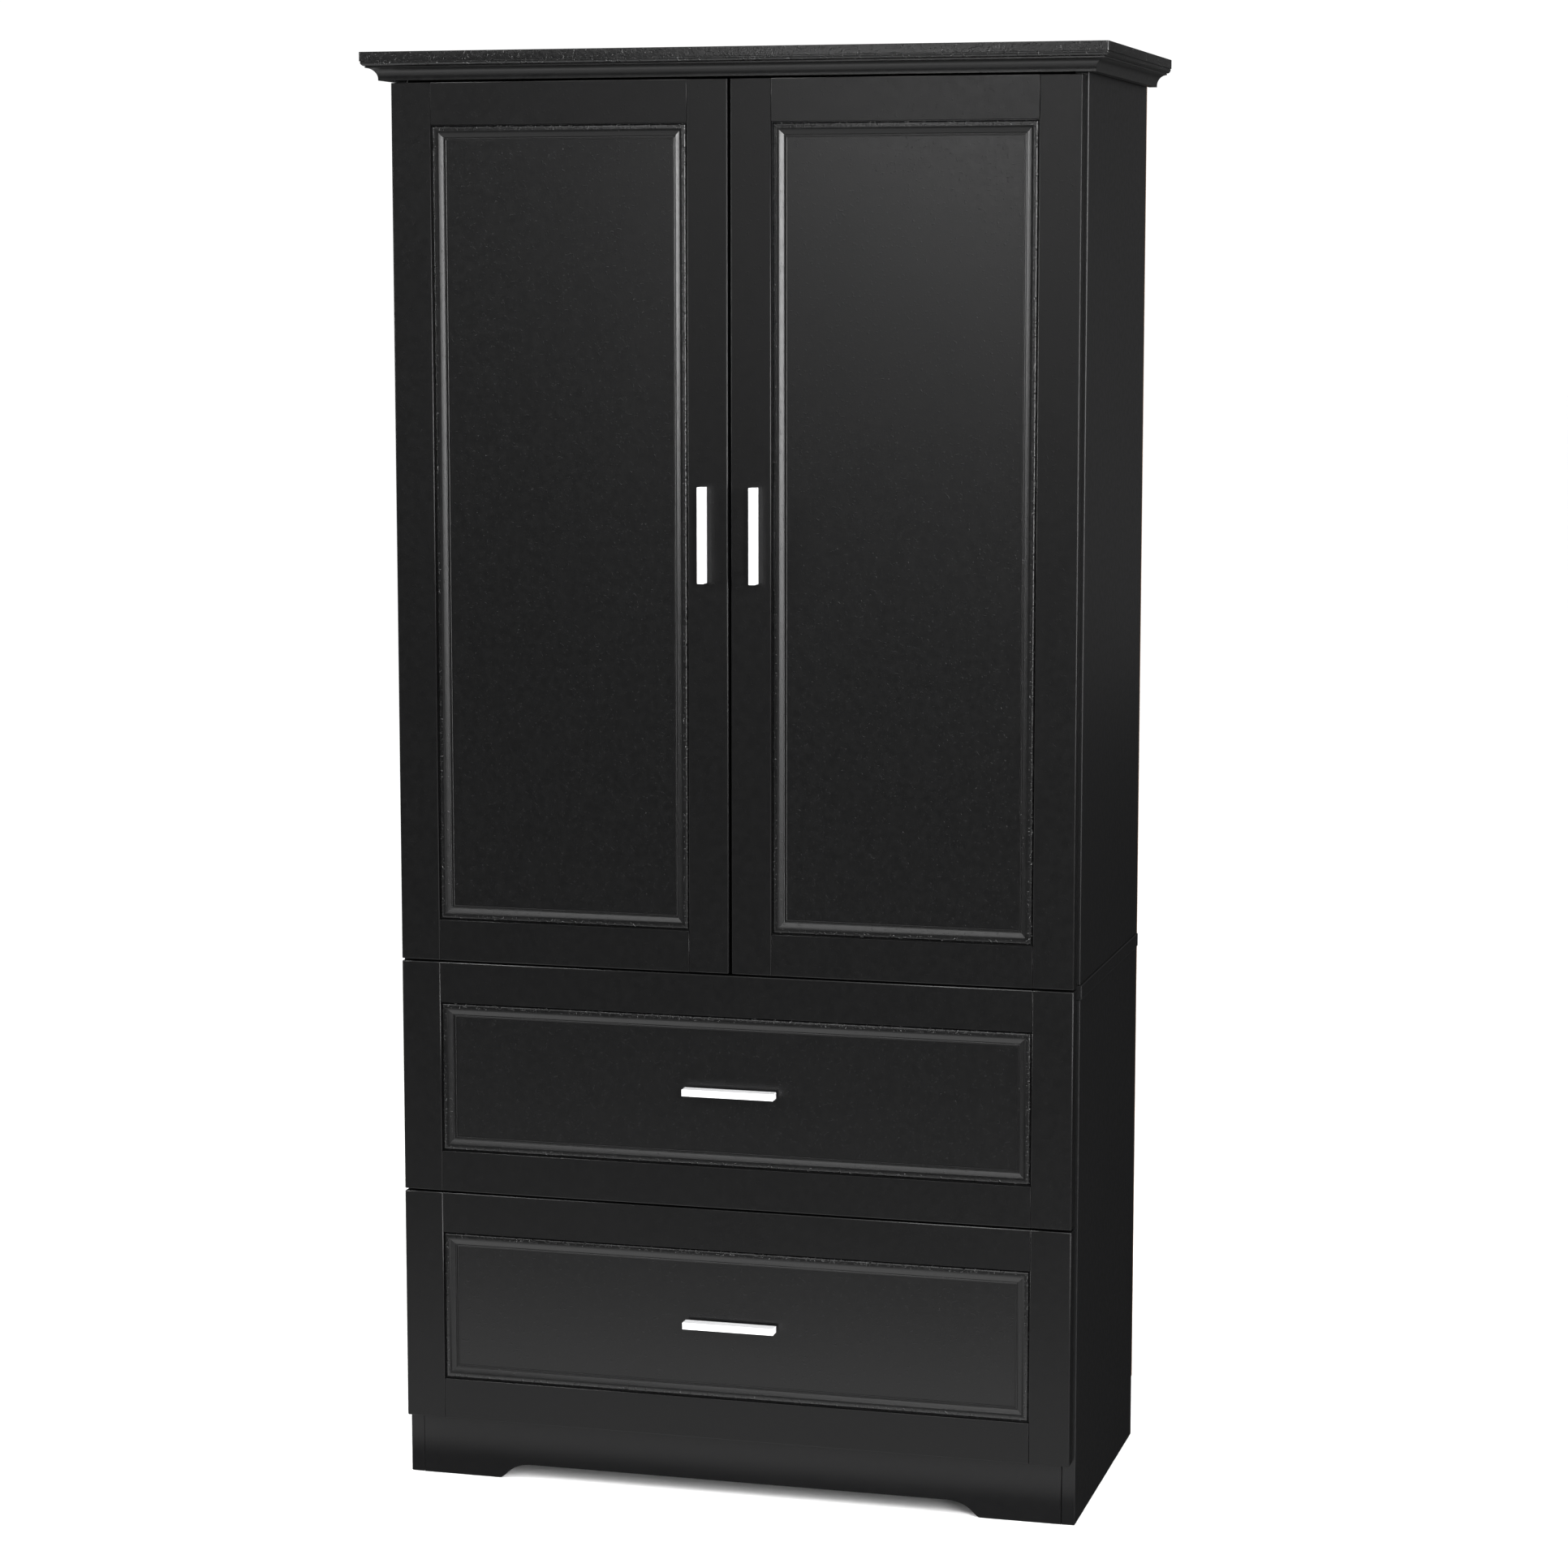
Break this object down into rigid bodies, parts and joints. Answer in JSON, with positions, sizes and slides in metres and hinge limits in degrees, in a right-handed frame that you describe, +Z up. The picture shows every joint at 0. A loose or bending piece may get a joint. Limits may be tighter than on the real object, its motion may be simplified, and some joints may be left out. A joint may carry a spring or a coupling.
{
  "type": "armoire",
  "caption": "Tall storage cabinet with framed, moulded doors over wide drawers, adjustable shelves, a moulded crown and a shaped plinth.",
  "frame": {"origin": "on the floor, at the middle of the bounding box's footprint", "axes": "+Z up, the front faces -Y, +X is the viewer's right"},
  "size_m": [0.816, 0.387, 1.58],
  "materials": {
    "front_paint": "satin black paint, fine orange peel",
    "carcass_paint": "satin black paint",
    "drawer_board": "matt black foil",
    "hardboard": "matt black face",
    "satin_metal": "satin",
    "zinc_steel": "nickel plated",
    "slide_steel": "black powder coat"
  },
  "bodies": {
    "carcass": {"top_board": "carcass_paint", "crown_moulding": "carcass_paint", "upper_left_side": "carcass_paint", "upper_right_side": "carcass_paint", "lower_left_side": "carcass_paint", "lower_right_side": "carcass_paint", "mid_board": "carcass_paint", "bottom_board": "carcass_paint", "plinth": "carcass_paint", "back_panel": "hardboard", "lower_shelf": "carcass_paint", "upper_shelf": "carcass_paint", "left_door_lower_hinge_arm": "zinc_steel", "left_door_upper_hinge_arm": "zinc_steel", "right_door_lower_hinge_arm": "zinc_steel", "right_door_upper_hinge_arm": "zinc_steel", "lower_drawer_left_cabinet_slide": "slide_steel", "lower_drawer_right_cabinet_slide": "slide_steel", "upper_drawer_left_cabinet_slide": "slide_steel", "upper_drawer_right_cabinet_slide": "slide_steel"},
    "left_door": {"left_door_left_stile": "front_paint", "left_door_right_stile": "front_paint", "left_door_bottom_rail": "front_paint", "left_door_top_rail": "front_paint", "left_door_panel": "front_paint", "left_door_handle": "satin_metal", "left_door_lower_hinge_cup": "zinc_steel", "left_door_upper_hinge_cup": "zinc_steel"},
    "right_door": {"right_door_left_stile": "front_paint", "right_door_right_stile": "front_paint", "right_door_bottom_rail": "front_paint", "right_door_top_rail": "front_paint", "right_door_panel": "front_paint", "right_door_handle": "satin_metal", "right_door_lower_hinge_cup": "zinc_steel", "right_door_upper_hinge_cup": "zinc_steel"},
    "lower_drawer": {"lower_drawer_left_stile": "front_paint", "lower_drawer_right_stile": "front_paint", "lower_drawer_bottom_rail": "front_paint", "lower_drawer_top_rail": "front_paint", "lower_drawer_panel": "front_paint", "lower_drawer_handle": "satin_metal", "lower_drawer_left_side": "drawer_board", "lower_drawer_right_side": "drawer_board", "lower_drawer_back": "drawer_board", "lower_drawer_bottom": "hardboard", "lower_drawer_left_drawer_slide": "slide_steel", "lower_drawer_right_drawer_slide": "slide_steel"},
    "upper_drawer": {"upper_drawer_left_stile": "front_paint", "upper_drawer_right_stile": "front_paint", "upper_drawer_bottom_rail": "front_paint", "upper_drawer_top_rail": "front_paint", "upper_drawer_panel": "front_paint", "upper_drawer_handle": "satin_metal", "upper_drawer_left_side": "drawer_board", "upper_drawer_right_side": "drawer_board", "upper_drawer_back": "drawer_board", "upper_drawer_bottom": "hardboard", "upper_drawer_left_drawer_slide": "slide_steel", "upper_drawer_right_drawer_slide": "slide_steel"}
  },
  "joints": [
    {"name": "left_door_hinge", "type": "hinge", "parent": "carcass", "child": "left_door", "pos_m": [-0.373, -0.1675, 1.07], "axis": [0, 0, -1], "range_deg": [0, 105]},
    {"name": "right_door_hinge", "type": "hinge", "parent": "carcass", "child": "right_door", "pos_m": [0.373, -0.1675, 1.07], "axis": [0, 0, 1], "range_deg": [0, 105]},
    {"name": "lower_drawer_slide", "type": "slide", "parent": "carcass", "child": "lower_drawer", "axis": [0, -1, 0], "range_m": [0, 0.25]},
    {"name": "upper_drawer_slide", "type": "slide", "parent": "carcass", "child": "upper_drawer", "axis": [0, -1, 0], "range_m": [0, 0.25]}
  ]
}
